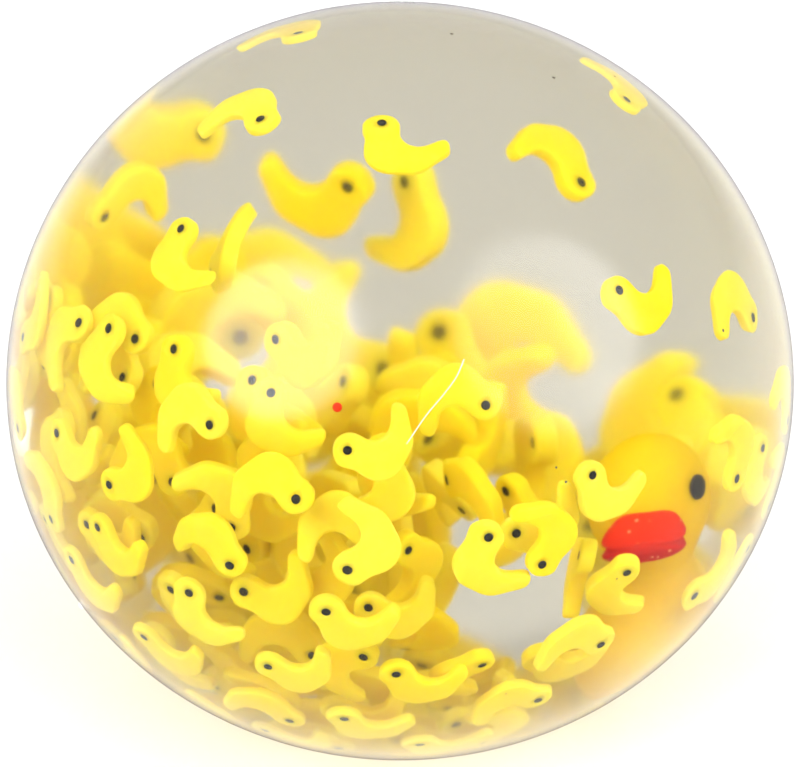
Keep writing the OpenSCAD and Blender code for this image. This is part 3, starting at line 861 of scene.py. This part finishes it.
port_way = -squeeze_way
port_from = np.array([0, 0, sit_h])
plug_corners = np.array([v.co for v in frame["nodes"]["fill_plug"].data.vertices]) - port_from
plug_along = plug_corners @ port_way
plug_reach = np.linalg.norm(plug_corners - plug_along[:, None] * port_way, axis=1)
stem_r = plug_reach[plug_along < plug_along.min() + WELD].max() + PLUG_ROOM
head_r = plug_reach.max() + PLUG_ROOM
seat = plug_along[plug_reach > head_r - 2 * PLUG_ROOM].min() - PLUG_ROOM
port_profile = [
    (0, seat - 2 * skin_wall),
    (stem_r, seat - 2 * skin_wall),
    (stem_r, seat),
    (head_r, seat),
    (head_r, seat + 2 * skin_wall),
    (0, seat + 2 * skin_wall),
]
port_points, port_faces = revolve(port_profile, circle(PORT_SIDES))
port_points = port_points @ facing(port_way).T + port_from
cutter_mesh = bpy.data.meshes.new("port_cutter")
cutter_mesh.from_pydata(port_points.tolist(), [], port_faces)
cutter = bpy.data.objects.new("port_cutter", cutter_mesh)
bpy.context.collection.objects.link(cutter)

outer_points, outer_faces = revolve(ball_profile(0), ball_circle)
inner_points, inner_faces = revolve(ball_profile(skin_wall), ball_circle)
skin_points = np.vstack([outer_points, inner_points])
skin_faces = outer_faces + [tuple(i + len(outer_points) for i in face[::-1]) for face in inner_faces]
skin = add_piece("rubber_skin", skin_points, skin_faces, rubber, "ball_skin", ["skin"])
skin.data.materials.append(wet_wall)
for polygon in skin.data.polygons:
    polygon.material_index = int(polygon.index >= len(outer_faces))
cut = skin.modifiers.new("port", "BOOLEAN")
cut.object = cutter
cut.solver = "EXACT"
bored = bpy.data.meshes.new_from_object(skin.evaluated_get(bpy.context.evaluated_depsgraph_get()))
skin.modifiers.clear()
skin.data = bored
bpy.data.objects.remove(cutter)
bored.shade_smooth()
bored.set_sharp_from_angle(angle=SHARP_TURN)
soft(skin)

# Fill plug and glue: a clear rubber stopper pressed into the port after filling, and a drop of clear
# glue over it that dries flush with the ball. Both turn a little milky.
MILKY, MILKIER = (0.60, 0.59, 0.54, 1), (0.74, 0.73, 0.69, 1)

plug_rubber, paint = new_finish("plug_rubber")
place = paint.node("TexCoord", out="Object")
bloom = paint.node("TexNoise", {}, {"Vector": place, "Scale": 1400, "Detail": 3})
shader = paint.node("BsdfPrincipled", {}, {
    "Base Color": paint.colours(bloom, MILKY, MILKIER),
    "Roughness": 0.35 + 0.25 * bloom,
    "Subsurface Weight": 0.5,
    "Subsurface Radius": (1, 1, 1),
    "Subsurface Scale": 1.0 * MM,
})
paint.surface(shader)
for node, slot in (("fill_plug", "clear_plug"), ("plug_seal", "clear_glue")):
    points, triangles = solids(node)[0]
    stopper = add_piece("soft_" + node, points, triangles.tolist(), plug_rubber, "port_plug", [node])
    stopper.data.set_sharp_from_angle(angle=SHARP_TURN)
    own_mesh(stopper)

# Mould nib: the small stub of rubber left where the mould was filled, low on the left. It is one with
# the skin, and is trimmed short with a blade.
NIB_WAY = (-0.816, -0.287, -0.496)
NIB_PROFILE = [(0, -0.3), (0.55, -0.3), (0.5, 0.12), (0.36, 0.34), (0.18, 0.44), (0, 0.46)]

nib_stretch = np.array([ball_r, ball_r, bowl_drop])
nib_at = port_from + np.array(NIB_WAY) / np.linalg.norm(np.array(NIB_WAY) / nib_stretch)
nib_out = (nib_at - port_from) / nib_stretch**2
nib_points, nib_faces = revolve(np.array(NIB_PROFILE) * MM, eye_circle)
nib_points = nib_points @ facing(nib_out).T + nib_at
soft(add_piece("mould_nib", nib_points, nib_faces, plug_rubber, "ball_skin", []))

# Shaving and chip: a curl of rubber trimmed off the mould and a flake of the bill's lacquer, which
# went in with the slices and drift against the front wall.
SHAVING_R = 0.05 * MM
SHAVING_SIDES = 6
# Longitude from the front to the right and latitude of the points along it, in degrees
SHAVING = [(11, 34), (9.4, 31.5), (7, 29), (4, 26), (1, 22)]
SHAVING_STEPS = 8
CHIP_SPOT = (-10, 27)
CHIP_PROFILE = [(0, -0.1), (0.34, -0.1), (0.40, 0.02), (0.30, 0.1), (0, 0.1)]
WALL_ROOM = 0.15 * MM


def at_wall(spot, room):
    """Point inside the crown of the ball, this far from the skin, at a longitude and latitude."""
    way = way_out(*spot)
    return port_from + way * (np.array([ball_r, ball_r, crown_rise]) - skin_wall - room), way


shaving_line = [at_wall(spot, WALL_ROOM)[0] for spot in smooth_rows(SHAVING, SHAVING_STEPS)]
shaving_ring = np.column_stack([SHAVING_R * circle(SHAVING_SIDES), np.zeros(SHAVING_SIDES)])
shaving_rings = []
for i, spot in enumerate(shaving_line):
    ahead = shaving_line[min(i + 1, len(shaving_line) - 1)] - shaving_line[max(i - 1, 0)]
    shaving_rings.append(shaving_ring @ facing(ahead).T + spot)
shaving_points, shaving_faces = loft(shaving_rings)
soft(add_piece("rubber_shaving", shaving_points, shaving_faces, plug_rubber, "filling", []))

chip_at, chip_out = at_wall(CHIP_SPOT, WALL_ROOM)
chip_points, chip_faces = revolve(np.array(CHIP_PROFILE) * MM, eye_circle)
chip_points = chip_points @ facing(chip_out).T + chip_at
soft(add_piece("lacquer_chip", chip_points, chip_faces, lacquer, "filling", []))

# Stage: a white table, soft even room light, and a softbox on each side of the camera, which the
# ball mirrors as two pale patches.
TABLE_HALF = 4
FLOOR_WHITE = (0.70, 0.70, 0.70, 1)
ROOM_LOW = (0.70, 0.68, 0.63, 1)
ROOM_HIGH = (1.08, 1.07, 1.05, 1)
CAMERA_ELEVATION = math.radians(30)
CAMERA_AWAY = 0.42
CAMERA_LENS = 212
CAMERA_AIM = (0, 0, 0.0293)
BOX_AWAY = 0.7
# Direction of each softbox in the camera's view, right, up, and back to the camera, its size, and how
# strongly the ball mirrors it
SOFTBOXES = {
    "left_softbox": ((-0.54, 0.27, 0.80), 0.56, 140),
    "right_softbox": ((0.66, 0.29, 0.69), 0.70, 92),
}
BOX_POWER = 5.0
# Light crosses twelve clear layers to the table under the ball and back, so twice as many are allowed
CLEAR_LAYERS = 24

table_mesh = bpy.data.meshes.new("table")
table_corners = [(x * TABLE_HALF, y * TABLE_HALF, 0) for x, y in ((-1, -1), (1, -1), (1, 1), (-1, 1))]
table_mesh.from_pydata(table_corners, [], [(0, 1, 2, 3)])
table = bpy.data.objects.new("table", table_mesh)
bpy.context.collection.objects.link(table)
white, paint = new_finish("table_white")
shader = paint.node("BsdfPrincipled", {}, {
    "Base Color": FLOOR_WHITE,
    "Roughness": 0.8,
    "Specular IOR Level": 0.1,
})
paint.surface(shader)
table_mesh.materials.append(white)

world = bpy.data.worlds.new("room")
world.use_nodes = True
world.node_tree.nodes.clear()
paint = Wire(world.node_tree)
height = paint.node("SeparateXYZ", {}, {"Vector": paint.node("TexCoord", out="Generated")}, out="Z")
room = paint.colours(0.5 + 0.5 * height, ROOM_LOW, ROOM_HIGH)
paint.node("OutputWorld", {}, {"Surface": paint.node("Background", {}, {"Color": room})})
bpy.context.scene.world = world

camera = bpy.data.objects.new("camera", bpy.data.cameras.new("camera"))
camera.data.lens = CAMERA_LENS
back = Vector((0, -math.cos(CAMERA_ELEVATION), math.sin(CAMERA_ELEVATION)))
camera.location = Vector(CAMERA_AIM) + back * CAMERA_AWAY
camera.rotation_mode = "QUATERNION"
camera.rotation_quaternion = (-back).to_track_quat("-Z", "Y")
bpy.context.collection.objects.link(camera)
bpy.context.scene.camera = camera

view_up = Vector((0, math.sin(CAMERA_ELEVATION), math.cos(CAMERA_ELEVATION)))
for name, ((right, up, toward), size, gleam) in SOFTBOXES.items():
    way = (Vector((1, 0, 0)) * right + view_up * up + back * toward).normalized()
    for use, power, mirrored in ((name, BOX_POWER, False), (name + "_gleam", gleam * size**2, True)):
        light = bpy.data.lights.new(use, "AREA")
        light.shape = "DISK"
        light.size = size
        light.energy = power
        softbox = bpy.data.objects.new(use, light)
        softbox.location = Vector(ball_middle) + way * BOX_AWAY
        softbox.rotation_mode = "QUATERNION"
        softbox.rotation_quaternion = way.to_track_quat("Z", "Y")
        softbox.visible_diffuse = not mirrored
        softbox.visible_transmission = not mirrored
        bpy.context.collection.objects.link(softbox)

scene = bpy.context.scene
scene.view_settings.view_transform = "Standard"
scene.cycles.caustics_refractive = False
scene.cycles.caustics_reflective = False
scene.cycles.transparent_max_bounces = CLEAR_LAYERS
